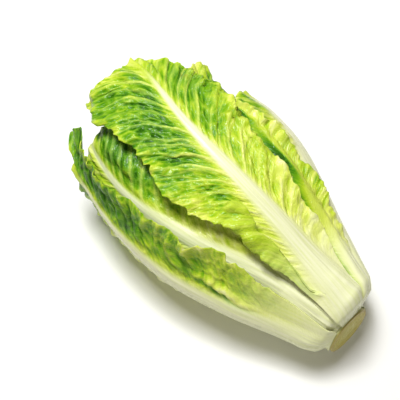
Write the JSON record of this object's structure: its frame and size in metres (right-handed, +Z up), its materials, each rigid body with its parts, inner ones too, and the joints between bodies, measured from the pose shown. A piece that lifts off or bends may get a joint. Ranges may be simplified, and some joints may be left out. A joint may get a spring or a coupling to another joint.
{
  "type": "romaine lettuce head",
  "caption": "Whole cut head of romaine lettuce lying on its side, with a short stem, long ribbed outer leaves and a pale leafy heart.",
  "frame": {"origin": "on the surface that the head lies on, under the middle of its bounding box", "axes": "+X from the cut butt to the leaf tips along the surface, +Z up, +Y to the left when looking from the butt to the tips"},
  "size_m": [0.255, 0.1506, 0.1145],
  "materials": {
    "stem": "damp cut stalk, cream green and slightly browned on the cut face",
    "outer_leaf": "waxy leaf, cream white rib that fades through yellow green to dark green at the margin and tip",
    "heart_leaf": "waxy leaf, cream rib and pale yellow green blade"
  },
  "bodies": {
    "root": {"stem": "stem", "leaf_01": "outer_leaf", "leaf_02": "outer_leaf", "leaf_03": "outer_leaf", "leaf_04": "outer_leaf", "leaf_05": "outer_leaf", "leaf_06": "outer_leaf", "leaf_07": "outer_leaf", "leaf_08": "outer_leaf", "leaf_09": "outer_leaf", "leaf_10": "heart_leaf", "leaf_11": "heart_leaf", "leaf_12": "heart_leaf", "leaf_13": "heart_leaf", "leaf_14": "heart_leaf", "leaf_15": "heart_leaf", "leaf_16": "heart_leaf", "leaf_17": "heart_leaf", "leaf_18": "heart_leaf", "leaf_19": "heart_leaf"}
  },
  "joints": []
}
